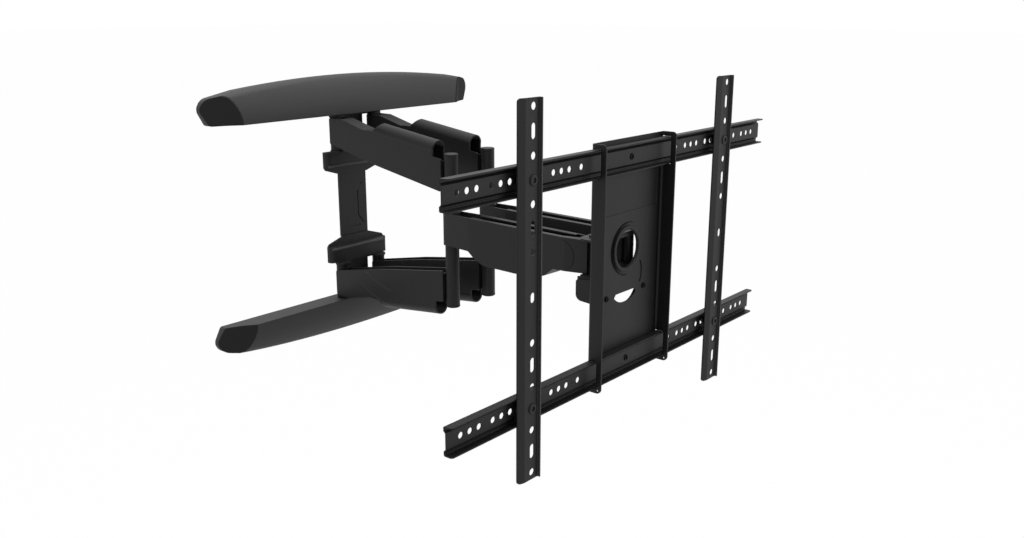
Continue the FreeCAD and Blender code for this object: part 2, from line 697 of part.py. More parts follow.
def domed_bolt(x, z, seat, grip, head_radius, head_height, socket_radius):
    """A bolt from the front with a low domed head, hex socket or none, and its nut behind the grip."""
    head = along_y(head_radius, x, z, seat - head_height, seat)
    rim = [e for e in head.Edges if abs(e.CenterOfMass.y - (seat - head_height)) < 1e-6]
    head = head.makeFillet(head_height * 0.6, rim)
    if socket_radius > 0:
        head = head.cut(hexagon(x, z, seat - head_height, socket_radius, head_height * 0.55))
    shank = along_y(bolt_radius, x, z, seat, seat + grip + nut_height + 1)
    return head.multiFuse([shank, hexagon(x, z, seat + grip, nut_radius, nut_height)])


def hexagon(x, z, low, radius, depth):
    """A six-sided bar from front to back."""
    angles = [math.pi / 3 * k for k in range(7)]
    corners = [V(x + radius * math.cos(a), low, z + radius * math.sin(a)) for a in angles]
    return Part.Face(Part.makePolygon(corners)).extrude(V(0, depth, 0))


def pin_with_heads(radius, x, y, low, high, head_radius, head_height):
    """A riveted pin: a plain shank with a flat rounded head at each end."""
    shank = upright_cylinder(radius, x, y, low, high)
    top = upright_cylinder(head_radius, x, y, high, high + head_height)
    foot = upright_cylinder(head_radius, x, y, low - head_height, low)
    return shank.multiFuse([top, foot])


def write_wall():
    upper = shoulder_bracket()
    write("wall_column", wall_column())
    write("shoulder_bracket_upper", upper)
    write("shoulder_bracket_lower", mirrored_z(upper))
    rail = wall_rail()
    write("wall_rail_upper", rail)
    write("wall_rail_lower", mirrored_z(rail))
    shell = cover_shell()
    ends = cover_facet_plane(cap_lap + cap_gap)
    cover = shell.cut(ends).cut(mirrored_x(ends))
    cap = shell.common(cover_facet_plane(cap_lap)).common(block(0, FAR, -FAR, FAR, 0, FAR))
    write("cover_upper", cover)
    write("cover_lower", mirrored_z(cover))
    write("cover_cap_upper_right", cap)
    write("cover_cap_upper_left", mirrored_x(cap))
    write("cover_cap_lower_right", mirrored_z(cap))
    write("cover_cap_lower_left", mirrored_x(mirrored_z(cap)))


def write_arms():
    wing = pressed_wing()
    arm = front_arm()
    bore = pin_radius + running_clearance
    shoulder_low = foot_outer + lug_thickness + washer_thickness
    shoulder_tube = upright_tube(tube_radius, bore, 0, 0, shoulder_low, lug_outer - washer_thickness)
    elbow_low = middle_knuckle_half + washer_thickness
    elbow_high = post_half_height - post_cap_height
    elbow_tube = upright_tube(tube_radius, bore, 0, -arm_pitch, elbow_low, elbow_high)
    middle_tube = upright_tube(tube_radius, bore, 0, 0, -middle_knuckle_half, middle_knuckle_half)
    head_bore = head_pin_radius + running_clearance
    head_tube = upright_tube(head_tube_radius, head_bore, 0, -arm_pitch, knuckle_bottom, knuckle_top)
    elbow_pin = upright_cylinder(pin_radius, 0, -arm_pitch, -elbow_high, elbow_high)
    cap = upright_cylinder(tube_radius + 0.2, 0, -arm_pitch, elbow_high, post_half_height)
    rim = [e for e in cap.Edges if abs(e.CenterOfMass.z - post_half_height) < 1e-6]
    cap = cap.makeFillet(post_cap_height * 0.6, rim)
    elbow_washer = upright_tube(tube_radius, bore, 0, -arm_pitch, middle_knuckle_half, elbow_low)
    pin_high = lug_outer + lug_thickness
    shoulder_pin = upright_cylinder(pin_radius, 0, 0, foot_outer, pin_high)
    shoulder_pin = shoulder_pin.fuse(upright_cylinder(pin_head_radius, 0, 0, pin_high,
                                                      pin_high + shoulder_head_height))
    shoulder_washers = [upright_tube(tube_radius, bore, 0, 0, low, low + washer_thickness)
                        for low in (foot_outer + lug_thickness, lug_outer - washer_thickness)]
    for side in ("left", "right"):
        write("rear_wing_upper_" + side, on_rear_arm(wing, side))
        write("rear_wing_lower_" + side, on_rear_arm(mirrored_z(wing), side))
        write("shoulder_tubes_" + side, *[on_rear_arm(s, side) for s in both_ends(shoulder_tube)])
        write("elbow_tubes_" + side, *[on_rear_arm(s, side) for s in both_ends(elbow_tube)])
        write("elbow_pin_" + side, on_rear_arm(elbow_pin, side))
        write("elbow_caps_" + side, *[on_rear_arm(s, side) for s in both_ends(cap)])
        write("elbow_washers_" + side, *[on_rear_arm(s, side) for s in both_ends(elbow_washer)])
        write("shoulder_pins_" + side, *[on_rear_arm(s, side) for s in both_ends(shoulder_pin)])
        washers = shoulder_washers + [mirrored_z(s) for s in shoulder_washers]
        write("shoulder_washers_" + side, *[on_rear_arm(s, side) for s in washers])
        write("front_arm_" + side, on_front_arm(arm, side))
        write("middle_tube_" + side, on_front_arm(middle_tube, side))
        write("head_tube_" + side, on_front_arm(head_tube, side))


def write_head():
    write("head_yoke", on_head(head_yoke()))
    low = knuckle_bottom - washer_thickness - yoke_sheet
    high = knuckle_top + washer_thickness + yoke_sheet
    for side in pivot_x:
        pin = pin_with_heads(head_pin_radius, pivot_x[side], head_to_screen, low, high, head_pin_head,
                             pin_head_height)
        write("head_pin_" + side, on_head(pin))
    bore = head_pin_radius + running_clearance
    washers = [upright_tube(head_tube_radius, bore, pivot_x[side], head_to_screen, z, z + washer_thickness)
               for side in pivot_x for z in (knuckle_bottom - washer_thickness, knuckle_top)]
    write("head_washers", *[on_head(w) for w in washers])


def write_panel():
    write("panel", on_head(panel()))
    write("cable_ring", on_head(cable_ring()))
    write("tilt_bracket", on_head(tilt_bracket()))
    write("tilt_pins", *[on_head(s) for s in (tilt_pin(), mirrored_x(tilt_pin()))])
    write("panel_screws", *[on_head(panel_screw(x)) for x in (-panel_screw_x, panel_screw_x)])
    rail = horizontal_rail()
    write("horizontal_rail_upper", on_head(rail))
    write("horizontal_rail_lower", on_head(mirrored_z(rail)))
    heights = (-rail_height_from_centre, rail_height_from_centre)
    rail_front = panel_face - rail_sheet - rail_step
    centre_grip = panel_face + panel_sheet - rail_front
    centre = [domed_bolt(0, z, rail_front, centre_grip, centre_head_radius, centre_head_height,
                         centre_socket_radius)
              for z in heights]
    write("centre_bolts", *[on_head(bolt) for bolt in centre])
    upright = upright_rail()
    places = [(x, z) for x in (-upright_x, upright_x) for z in heights]
    write("upright_rail_left", on_head(upright.translated(V(-upright_x, 0, 0))))
    write("upright_rail_right", on_head(upright.translated(V(upright_x, 0, 0))))
    corner_grip = rail_front + rail_sheet
    corner = [domed_bolt(x, z, 0, corner_grip, bolt_head_radius, bolt_head_height, 0) for x, z in places]
    write("rail_bolts", *[on_head(bolt) for bolt in corner])
    spacers = [along_y(spacer_radius, x, z, upright_sheet, rail_front).cut(
        along_y(bolt_radius + running_clearance, x, z, upright_sheet, rail_front)) for x, z in places]
    write("rail_spacers", *[on_head(s) for s in spacers])


def tilt_pin():
    """The right tilt pin: seated on the bracket's ear, through the yoke's ear, with a collar inside."""
    inner = yoke_half_width - yoke_sheet
    collar = 3.6
    shank = Part.makeCylinder(tilt_pin_radius, yoke_sheet + tilt_ear_gap,
                              V(inner, tilt_depth, tilt_height), V(1, 0, 0))
    head = Part.makeCylinder(tilt_pin_radius + 3, collar, V(inner - collar, tilt_depth, tilt_height),
                             V(1, 0, 0))
    return head.fuse(shank)


def panel_screw(x):
    """A countersunk-size pan screw through the panel into the tilt bracket."""
    head = along_y(screw_head_radius, x, panel_screw_z, panel_face - screw_head_height, panel_face)
    rim = [e for e in head.Edges if abs(e.CenterOfMass.y - panel_face + screw_head_height) < 1e-6]
    shank = along_y(screw_radius, x, panel_screw_z, panel_face, panel_face + panel_sheet + yoke_sheet)
    return head.makeFillet(screw_head_height * 0.6, rim).fuse(shank)


os.makedirs("parts", exist_ok=True)
write_wall()
write_arms()
write_head()
write_panel()
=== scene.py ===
# %% [markdown]
# A full-motion wall mount for a flat screen. Two pairs of folding arms carry a tilting panel with slotted
# rails. The construction comes packed, with every plate, tube and bolt in its place. This lesson gives it
# its finishes, adds the small formed details that a pressed and welded steel bracket shows, and sets it
# in a plain white studio.

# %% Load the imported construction
import json
import math
import bmesh
import bpy
from mathutils import Matrix, Vector


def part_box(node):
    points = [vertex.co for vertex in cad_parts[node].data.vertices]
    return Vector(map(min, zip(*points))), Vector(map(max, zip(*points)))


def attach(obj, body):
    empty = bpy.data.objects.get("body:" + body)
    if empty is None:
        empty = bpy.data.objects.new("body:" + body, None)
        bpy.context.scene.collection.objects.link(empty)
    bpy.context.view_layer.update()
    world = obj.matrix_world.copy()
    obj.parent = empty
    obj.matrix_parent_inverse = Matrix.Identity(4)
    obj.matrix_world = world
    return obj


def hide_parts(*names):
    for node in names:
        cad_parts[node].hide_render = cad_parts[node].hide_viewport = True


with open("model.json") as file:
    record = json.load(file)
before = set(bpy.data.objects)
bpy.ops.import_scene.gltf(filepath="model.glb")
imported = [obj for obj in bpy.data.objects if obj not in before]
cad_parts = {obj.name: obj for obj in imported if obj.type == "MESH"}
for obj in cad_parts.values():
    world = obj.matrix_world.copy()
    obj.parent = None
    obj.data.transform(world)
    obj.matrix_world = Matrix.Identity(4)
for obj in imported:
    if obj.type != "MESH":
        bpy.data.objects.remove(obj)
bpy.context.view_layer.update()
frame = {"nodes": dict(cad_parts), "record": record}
nodes = frame["nodes"]

# %% [markdown]
# Every finish here is a small network of shader nodes, and so is the studio's surround. Written node by
# node they would be long, so one class wraps a socket, and arithmetic on it adds the Math nodes. A second
# class has one method that makes every other kind of node.

# %% Shader sums written as Python
class Value:
    """A socket in a network. Sums on it add Math nodes."""

    def __init__(self, network, socket):
        self.network = network
        self.socket = socket

    def sum(self, operation, first, second):
        return self.network.node("ShaderNodeMath", {"operation": operation}, {0: first, 1: second})

    def __add__(self, other):
        return self.sum("ADD", self, other)

    def __radd__(self, other):
        return self.sum("ADD", other, self)

    def __sub__(self, other):
        return self.sum("SUBTRACT", self, other)

    def __rsub__(self, other):
        return self.sum("SUBTRACT", other, self)

    def __mul__(self, other):
        return self.sum("MULTIPLY", self, other)

    def __rmul__(self, other):
        return self.sum("MULTIPLY", other, self)

    def __abs__(self):
        return self.network.node("ShaderNodeMath", {"operation": "ABSOLUTE"}, {0: self})


class Network:
    """Shader nodes that are made as they are named."""

    def __init__(self, tree):
        self.tree = tree
        self.tree.nodes.clear()

    def node(self, kind, settings, inputs, output=0):
        """One node: its type, its settings, then the values or links of its sockets."""
        made = self.tree.nodes.new(kind)
        for name, value in settings.items():
            setattr(made, name, value)
        for key, value in inputs.items():
            if isinstance(value, Value):
                self.tree.links.new(value.socket, made.inputs[key])
            else:
                made.inputs[key].default_value = value
        return Value(self, made.outputs[output]) if made.outputs else None


print("shader sums ready")

# %% [markdown]
# A finish is such a network in a material. All of them need the same few things: the place of a point on
# its object, noise of a known size, a mix of two tones, and relief. Object coordinates are used because
# they stay with a piece when it moves. The helpers below give each of these in one call.

# %% What the finishes share
class Finish(Network):
    """A material, laid out by the place of each point on its object."""

    def __init__(self, name):
        self.material = bpy.data.materials.new(name)
        self.material.use_nodes = True
        super().__init__(self.material.node_tree)
        self.place = self.node("ShaderNodeTexCoord", {}, {}, "Object")

    def along(self, axis, place):
        """How far a place lies along an axis."""
        return self.node("ShaderNodeSeparateXYZ", {}, {0: place}, axis)

    def vector(self, operation, *operands, output=0):
        """A sum on whole places."""
        inputs = dict(enumerate(operands))
        return self.node("ShaderNodeVectorMath", {"operation": operation}, inputs, output)

    def ramp(self, value, start, end, first=0.0, last=1.0):
        """A share that runs from first to last while the value goes from start to end."""
        bounds = {"From Min": start, "From Max": end, "To Min": first, "To Max": last}
        return self.node("ShaderNodeMapRange", {}, {"Value": value, **bounds})

    def noise(self, size, detail):
        """Soft noise whose blots are about size metres across."""
        inputs = {"Vector": self.place, "Scale": 1 / size, "Detail": detail}
        return self.node("ShaderNodeTexNoise", {}, inputs, "Fac")

    def blend(self, share, first, second):
        """A mix of two tones, each written as numbers or mixed before."""
        first, second = ((*tone, 1) if isinstance(tone, tuple) else tone for tone in (first, second))
        return self.node("ShaderNodeMix", {"data_type": "RGBA"}, {"Factor": share, 6: first, 7: second}, 2)

    def bump(self, height, strength, distance, edge):
        """Relief on top of edges that are worn round by the edge radius."""
        rounded = self.node("ShaderNodeBevel", {"samples": 6}, {"Radius": edge})
        inputs = {"Height": height, "Strength": strength, "Distance": distance, "Normal": rounded}
        return self.node("ShaderNodeBump", {}, inputs)

    def surface(self, **inputs):
        """The finished material, from the shader's inputs by name."""
        names = {name.replace("_", " "): value for name, value in inputs.items()}
        shader = self.node("ShaderNodeBsdfPrincipled", {}, names)
        self.node("ShaderNodeOutputMaterial", {}, {"Surface": shader})
        return self.material


print("finish helpers ready")

# %% [markdown]
# The arms, rails and panel are pressed steel in a satin black powder coat. The powder melts into a film
# with a fine orange-peel ripple, and its gloss drifts a little over a plate. A flat black would hide
# both, so noise at the ripple's own size lifts the surface and slower noise moves the roughness. The film
# also rounds every cut edge, which a bevel of the normals gives without a change to the mesh. Some raised
# edges get a paler coat as a painted highlight.

# %% Powder-coated steel
black = (0.0, 0.0, 0.0)
coat_dark, coat_pale = (0.009, 0.009, 0.0093), (0.016, 0.016, 0.0165)
drift_size, ripple_size, grit_size = 0.060, 0.0016, 0.0005
coat_rough, coat_shine = 0.48, 0.22
coat_relief, ripple_depth, coat_edge = 0.25, 0.0004, 0.0008


def powder_coat(name, dark=coat_dark, pale=coat_pale, pressed=None, painted_tone=None, rise=0.0):
    """The coat, with painted light or shade in a tone of its own where the mask is, and a height there."""
    coat = Finish(name)
    drift = coat.noise(drift_size, 4.0)
    ripple = coat.noise(ripple_size, 2.0)
    grit = coat.noise(grit_size, 1.0)
    tone = coat.blend(drift * 0.7 + grit * 0.3, dark, pale)
    height = ripple * 0.8 + grit * 0.2
    if pressed:
        line = pressed(coat)
        tone = coat.blend(line, tone, painted_tone)
        height = height + line * rise
    relief = coat.bump(height, coat_relief, ripple_depth, coat_edge)
    rough = coat_rough + (drift - 0.5) * 0.16 + (grit - 0.5) * 0.10
    return coat.surface(Base_Color=tone, Roughness=rough, Normal=relief, Specular_IOR_Level=coat_shine)


steel = powder_coat("satin_black_powder_coat")
# The foot beads' paler coat is a painted highlight.
bead_highlight_steel = powder_coat("painted_highlight_powder_coat", dark=(0.045, 0.045, 0.046), pale=(0.065, 0.065, 0.066))
print("finishes:", steel.name, bead_highlight_steel.name)

# %% [markdown]
# The press leaves lines in the plates: two long arcs on each lower wing, where its flat side turns into
# the rolled back, and a short curved one near the head end of each front arm. They are too fine for mesh,
# so the coat's height carries them, and its tone paints their light: a raised line gets a paler painted
# highlight, and a sunk one is painted black as shade. In the side view each line is an arc, and a point's
# distance from that arc says how near the line it lies.

# %% Lines pressed into the plates
line_fade = 0.006
wing_line_width, arm_line_width = 0.0011, 0.0026


def arc_line(coat, place, centre, radius, width, reach):
    """1 on a thin arc round the centre in the side view, fading out at the reach along Y and Z."""
    offset = coat.vector("SUBTRACT", place, (0, *centre))
    in_side_view = coat.vector("MULTIPLY", offset, (0, 1, 1))
    distance = coat.vector("LENGTH", in_side_view, output="Value")
    inputs = {"Value": abs(distance - radius), "From Max": width, "To Min": 1.0, "To Max": 0.0}
    line = coat.node("ShaderNodeMapRange", {"interpolation_type": "SMOOTHSTEP"}, inputs)
    for axis, (start, end) in zip("YZ", reach):
        along = coat.along(axis, place)
        line = line * coat.ramp(along, start, start + line_fade)
        line = line * coat.ramp(along, end, end - line_fade)
    return line


def wing_lines(coat):
    """Both arcs on a lower wing, in distances out from the wall and down from the middle."""
    place = coat.vector("ABSOLUTE", coat.place)
    lower = arc_line(coat, place, centre=(0.1608, -0.0449), radius=0.1732, width=wing_line_width,
                     reach=((0.070, 0.150), (0.090, 0.140)))
    upper = arc_line(coat, place, centre=(0.1575, -0.0228), radius=0.1278, width=wing_line_width,
                     reach=((0.084, 0.146), (0.070, 0.115)))
    return lower + upper


def arm_line(coat):
    """The curved line on a front arm, in distances out from the wall and up from the middle."""
    place = coat.vector("MULTIPLY", coat.place, (1, -1, 1))
    return arc_line(coat, place, centre=(0.4610, 0.0038), radius=0.0214, width=arm_line_width,
                    reach=((0.464, 0.500), (-0.012, 0.032)))


# The wings' paler line tone is a painted highlight, and the arms' black line is painted shade.
wing_steel = powder_coat("powder_coat_pressed_wing", pressed=wing_lines, painted_tone=(0.036, 0.036, 0.037),
                         rise=2.5)
arm_steel = powder_coat("powder_coat_pressed_arm", pressed=arm_line, painted_tone=black, rise=-10.0)
print("finishes:", wing_steel.name, arm_steel.name)

# %% [markdown]
# Painted light and shade mark other plates too. The uprights' lips lie in shade, so they are painted
# paler toward their edge as painted light. On the panel, the floors of the grooves round the ring are
# painted black as shade, and so are the corners at the foot of its walls, where little light reaches.
# Each mark lies at a known distance from a face of its plate, so a ramp on that distance finds it
# without any mesh of its own.

# %% Painted light on the lips, painted shade on the panel
lip_height = 0.0032
groove_rest = 0.0005
corner_start, corner_full = 0.0085, 0.0050
wall_outside, wall_inside = 0.0005, 0.0015
bend_end, wall_face = 0.0036, 0.0021
bend_shade, wall_shade = 0.90, 0.30


def lip_edge(coat):
    """1 on the uprights' lips, which get painted light and stand in front of everything else on those
    rails.
    """
    front = Vector(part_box("upright_rail_left")[0]).y
    return coat.ramp(coat.along("Y", coat.place), front + lip_height, front)


def panel_shade(coat):
    """Painted shade: 1 on the floor of the panel's grooves, nearly 1 in its corners, less inside its walls.
    """
    low, high = (Vector(corner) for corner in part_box("panel"))
    from_floor = abs(coat.along("Y", coat.place) - (high.y - groove_rest))
    floor_share = coat.ramp(from_floor, groove_rest * 0.6, groove_rest * 0.3)
    from_side = (high.x - low.x) / 2 - abs(coat.along("X", coat.place) - (low.x + high.x) / 2)
    corner_share = coat.ramp(from_side, corner_start, corner_full)
    inside = coat.ramp(from_side, wall_outside, wall_inside)
    strength = coat.ramp(from_side, bend_end, wall_face, bend_shade, wall_shade)
    return floor_share + corner_share * inside * strength


# The lips' paler tone is painted light, and the panel's black is painted shade.
upright_steel = powder_coat("powder_coat_lip_painted_light", pressed=lip_edge, painted_tone=(0.055, 0.055, 0.056))
panel_steel = powder_coat("powder_coat_panel_painted_shade", pressed=panel_shade, painted_tone=black)
print("finishes:", upright_steel.name, panel_steel.name)

# %% [markdown]
# The covers over the wall rails are moulded plastic with a fine spark-eroded grain, a shade paler and
# more matte than the steel. A cell pattern gives the grain its close, even pits, and broad noise keeps
# the long faces from looking flat. Their end caps are moulded apart, from a darker batch. The cable ring
# and the washers between the knuckles are plastic of the same kind.

# %% Grained plastic
shell_drift_size = 0.090
shell_relief, pit_depth, shell_edge = 0.20, 0.0003, 0.0010


def grained_plastic(name, dark, pale, rough, pit, shine=0.25):
    """Moulded plastic whose pits are about pit metres apart."""
    shell = Finish(name)
    drift = shell.noise(shell_drift_size, 3.0)
    cells = {"Vector": shell.place, "Scale": 1 / pit}
    pits = shell.node("ShaderNodeTexVoronoi", {"feature": "SMOOTH_F1"}, cells, "Distance")
    tone = shell.blend(drift * 0.6 + pits * 0.4, dark, pale)
    relief = shell.bump(pits, shell_relief, pit_depth, shell_edge)
    uneven = rough + (drift - 0.5) * 0.10 - pits * 0.05
    return shell.surface(Base_Color=tone, Roughness=uneven, Normal=relief, Specular_IOR_Level=shine)


cover_plastic = grained_plastic("grained_cover_plastic", dark=(0.032, 0.032, 0.0325),
                                pale=(0.043, 0.043, 0.0435), rough=0.60, pit=0.0011)
cap_plastic = grained_plastic("dark_cap_plastic", dark=(0.020, 0.020, 0.0203),
                              pale=(0.026, 0.026, 0.0264), rough=0.75, pit=0.0011, shine=0.10)
ring_plastic = grained_plastic("satin_ring_plastic", dark=(0.012, 0.012, 0.0123),
                               pale=(0.018, 0.018, 0.0184), rough=0.58, pit=0.0008)
washer_plastic = grained_plastic("washer_plastic", dark=(0.008, 0.008, 0.008),
                                 pale=(0.013, 0.013, 0.013), rough=0.55, pit=0.0006)
print("finishes:", cover_plastic.name, cap_plastic.name, ring_plastic.name, washer_plastic.name)

# %% [markdown]
# Bolts and pins are turned or headed steel with a black oxide. It is thin, so the metal under it still
# shines a little through: part of the surface is metallic, in stains, and a fine grain breaks its gloss.
# The panel's own screws and bolts are darker, as oxide is when it is oiled.

# %% Black-oxide fasteners
stain_size, grain_size = 0.006, 0.0006
oxide_relief, grain_depth, oxide_edge = 0.15, 0.0002, 0.0004


def black_oxide(name, dark, pale, shine):
    """Stained oxide over steel."""
    oxide = Finish(name)
    stain = oxide.noise(stain_size, 4.0)
    grain = oxide.noise(grain_size, 2.0)
    tone = oxide.blend(stain, dark, pale)
    relief = oxide.bump(grain, oxide_relief, grain_depth, oxide_edge)
    return oxide.surface(Base_Color=tone, Metallic=0.25 + stain * 0.3, Roughness=0.38 + grain * 0.16,
                         Normal=relief, Specular_IOR_Level=shine)


fastener_steel = black_oxide("black_oxide_steel", dark=(0.012, 0.012, 0.0125), pale=(0.024, 0.024, 0.025),
                             shine=0.25)
oiled_steel = black_oxide("oiled_black_oxide_steel", dark=(0.002, 0.002, 0.002), pale=(0.005, 0.005, 0.005),
                          shine=0.08)
print("finishes:", fastener_steel.name, oiled_steel.name)

# %% [markdown]
# The record says which slot each piece of the construction has, so one table dresses them all. A second
# table holds the pieces that differ, by the start of their names: plates with lines or painted light and
# shade of their own, the darker end caps, and the posts' caps, which were coated with the arms.

# %% Dress the construction
finishes = {"coated_steel": steel, "cover_plastic": cover_plastic, "ring_plastic": ring_plastic,
            "washer_plastic": washer_plastic, "fastener_steel": fastener_steel}
special = {"rear_wing_lower": wing_steel, "front_arm": arm_steel, "upright_rail": upright_steel,
           "panel": panel_steel, "cover_cap": cap_plastic, "elbow_caps": steel}
for entry in frame["record"]["subparts"]:
    name = entry["node"]
    usual = finishes[entry["material_slot"]]
    finish = next((special[start] for start in special if name.startswith(start)), usual)
    for place in nodes[name].material_slots:
        place.material = finish

# %% [markdown]
# Small formed pieces come next. Each is made with mesh operators at its place, so its object stays at the
# origin. One helper turns the working mesh into an object with its finish, the body it rides on and the
# node it stands for. Edges that turn by more than the crease angle stay sharp, so flat faces look flat.

# %% From working mesh to piece
crease = math.radians(35)
merge_distance = 1e-6


def piece_from(work, name, finish, body, stands_for=None, creased=True):
    """The working mesh as an object that rides on a body."""
    bmesh.ops.remove_doubles(work, verts=work.verts, dist=merge_distance)
    bmesh.ops.recalc_face_normals(work, faces=work.faces)
    mesh = bpy.data.meshes.new(name)
    work.to_mesh(mesh)
    work.free()
    mesh.materials.append(finish)
    mesh.shade_smooth()
    if creased:
        mesh.set_sharp_from_angle(angle=crease)
    piece = bpy.data.objects.new(name, mesh)
    bpy.context.scene.collection.objects.link(piece)
    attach(piece, body)
    if stands_for:
        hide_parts(stands_for)
    print("piece:", name, len(mesh.polygons), "faces")


print("creases from", round(math.degrees(crease)), "degrees")

# %% [markdown]
# The ring that lines the panel's round opening is moulded. Its front is a flat band with rounded edges,
# and a thin neck lines the cut sheet behind it, so that cables slide over plastic. The neck ends flush
# with the panel's back, because the yoke is close behind it when the screen leans back. Each of the two
# has a square section, scaled to its width and depth, with the four corners rounded by a bevel of the
# corner points. A spin of both round the opening gives the ring.

# %% Cable ring
low, high = (Vector(corner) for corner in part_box("cable_ring"))
centre = (low + high) / 2
outer = (high.x - low.x) / 2
band, band_end, band_round = 0.0044, 0.0004, 0.0010
neck_wall, neck_step, neck_round = 0.0009, 0.0008, 0.0003
square_radius = math.sqrt(0.5)
square_up = Matrix.Rotation(math.pi / 4, 3, "Z")
work = bmesh.new()
for inner_radius, width, front, back, corner_round in (
        (outer - band, band, low.y, high.y - band_end, band_round),
        (outer - band - neck_step, neck_wall, low.y + neck_step, high.y, neck_round)):
    section = bmesh.ops.create_circle(work, segments=4, radius=square_radius)["verts"]
    bmesh.ops.rotate(work, cent=(0, 0, 0), matrix=square_up, verts=section)
    bmesh.ops.scale(work, vec=(width, back - front, 1), verts=section)
    place = (centre.x + inner_radius + width / 2, (front + back) / 2, centre.z)
    bmesh.ops.translate(work, vec=place, verts=section)
    bmesh.ops.bevel(work, geom=section, offset=corner_round, segments=5, profile=0.5, affect="VERTICES",
                    material=-1)
bmesh.ops.spin(work, geom=work.verts[:] + work.edges[:], cent=centre, axis=(0, 1, 0), angle=math.tau,
               steps=96, use_merge=True)
piece_from(work, "flat_band_ring", ring_plastic, "screen_frame", "cable_ring")

# %% [markdown]
# Screws, bolts and folded flanges all start as a flat shape that is raised and rounded at its rim, so a
# few helpers say that once. A screw or bolt is made upright in a mesh of its own, where its faces are
# easy to find. It is then turned to face the front and joined to the working mesh.

# %% Raised shapes
face_front = Matrix.Rotation(math.pi / 2, 4, "X")
same_height = 1e-7
head_sides, shank_sides, nut_sides = 48, 24, 6


def raise_faces(work, faces, height):
    """Extrudes faces upward, or downward where the height is below zero. Gives back the moved points."""
    grown = bmesh.ops.extrude_face_region(work, geom=faces)["geom"]
    moved = [part for part in grown if isinstance(part, bmesh.types.BMVert)]
    bmesh.ops.translate(work, vec=(0, 0, height), verts=moved)
    return moved


def edges_between(work, points):
    """The edges with both ends among the points."""
    return [e for e in work.edges if all(v in points for v in e.verts)]


def round_edges(work, edges, radius, steps):
    """Rounds the edges by a radius, in a number of steps."""
    bmesh.ops.bevel(work, geom=edges, offset=radius, segments=steps, profile=0.5, affect="EDGES",
                    material=-1)


def raised_disc(work, sides, radius, low, high, rounding, steps=4):
    """A disc raised from low to high, its upper rim rounded. Gives back its top face."""
    foot = Matrix.Translation((0, 0, low))
    disc = bmesh.ops.create_circle(work, cap_ends=True, segments=sides, radius=radius, matrix=foot)["verts"]
    top = raise_faces(work, list(disc[0].link_faces), high - low)
    round_edges(work, edges_between(work, top), rounding, steps)
    whole = [f for f in work.faces if len(f.verts) == sides]
    return next(f for f in whole if abs(f.calc_center_median().z - high) < same_height)


def join_facing_front(work, part, seat):
    """Sets an upright part on its seat, facing the front, and adds it to the working mesh."""
    bmesh.ops.transform(part, matrix=Matrix.Translation(seat) @ face_front, verts=part.verts)
    holder = bpy.data.meshes.new("holder")
    part.to_mesh(holder)
    part.free()
    work.from_mesh(holder)
    bpy.data.meshes.remove(holder)


print("raised shapes ready")

# %% [markdown]
# Two pan-head screws hold the panel to its tilt bracket. The cross in the head is pressed in by the
# heading punch. A disc is raised and its rim rounded, then four cuts each way mark out the cross, and its
# faces sink into the head.

# %% Cross-slot screws
low, high = (Vector(corner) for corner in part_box("panel_screws"))
head_radius = (high.z - low.z) / 2
head_height = 0.0018
dome, slot_depth = head_height * 0.55, head_height * 0.7
slot_half, slot_reach = 0.00045, 0.0021
work = bmesh.new()
for x in (low.x + head_radius, high.x - head_radius):
    screw = bmesh.new()
    raised_disc(screw, head_sides, head_radius, 0, head_height, dome, steps=5)
    for axis in (Vector((1, 0, 0)), Vector((0, 1, 0))):
        for offset in (-slot_reach, -slot_half, slot_half, slot_reach):
            everything = screw.verts[:] + screw.edges[:] + screw.faces[:]
            bmesh.ops.bisect_plane(screw, geom=everything, plane_co=axis * offset, plane_no=axis)
    cross = []
    for face in screw.faces:
        middle = face.calc_center_median()
        near, far = sorted((abs(middle.x), abs(middle.y)))
        if middle.z > head_height * 0.98 and near < slot_half and far < slot_reach:
            cross.append(face)
    raise_faces(screw, cross, -slot_depth)
    bmesh.ops.delete(screw, geom=cross, context="FACES")
    join_facing_front(work, screw, (x, low.y + head_height, (low.z + high.z) / 2))
piece_from(work, "cross_slot_screws", oiled_steel, "screen_frame", "panel_screws")

# %% [markdown]
# Socket-head bolts hold the rails together: one at each crossing, and one in the middle of each
# horizontal rail. The head is low and domed at its rim, and the socket is six-sided for a key. A disc is
# raised and its rim rounded; the middle of its top is inset, pulled into a hexagon and sunk. The shank
# and the nut are raised discs too, behind the head.

# %% Socket-head bolts
shank_radius, shank_round = 0.0030, 0.0003
nut_radius, nut_height, nut_round, thread_end = 0.0058, 0.0050, 0.0004, 0.0010
sixth = math.pi / 3


def socket_bolt(work, seat, head_radius, head_height, socket, length):
    """A bolt with its head in front of the seat and its nut behind, added to the working mesh."""
    bolt = bmesh.new()
    rim_round = head_height * 0.6
    top = raised_disc(bolt, head_sides, head_radius, 0, head_height, rim_round)
    rim_width = head_radius - rim_round - socket
    bmesh.ops.inset_region(bolt, faces=[top], thickness=rim_width, use_even_offset=True)
    for v in top.verts:
        turn = math.atan2(v.co.y, v.co.x) % sixth - sixth / 2
        v.co.xy = v.co.xy.normalized() * socket * math.cos(sixth / 2) / math.cos(turn)
    sunk = bmesh.ops.extrude_discrete_faces(bolt, faces=[top])["faces"]
    bmesh.ops.translate(bolt, vec=(0, 0, -head_height * 0.9), verts=sunk[0].verts)
    nut_low = thread_end - length
    raised_disc(bolt, shank_sides, shank_radius, -length, 0, shank_round)
    raised_disc(bolt, nut_sides, nut_radius, nut_low, nut_low + nut_height, nut_round)
    join_facing_front(work, bolt, seat)


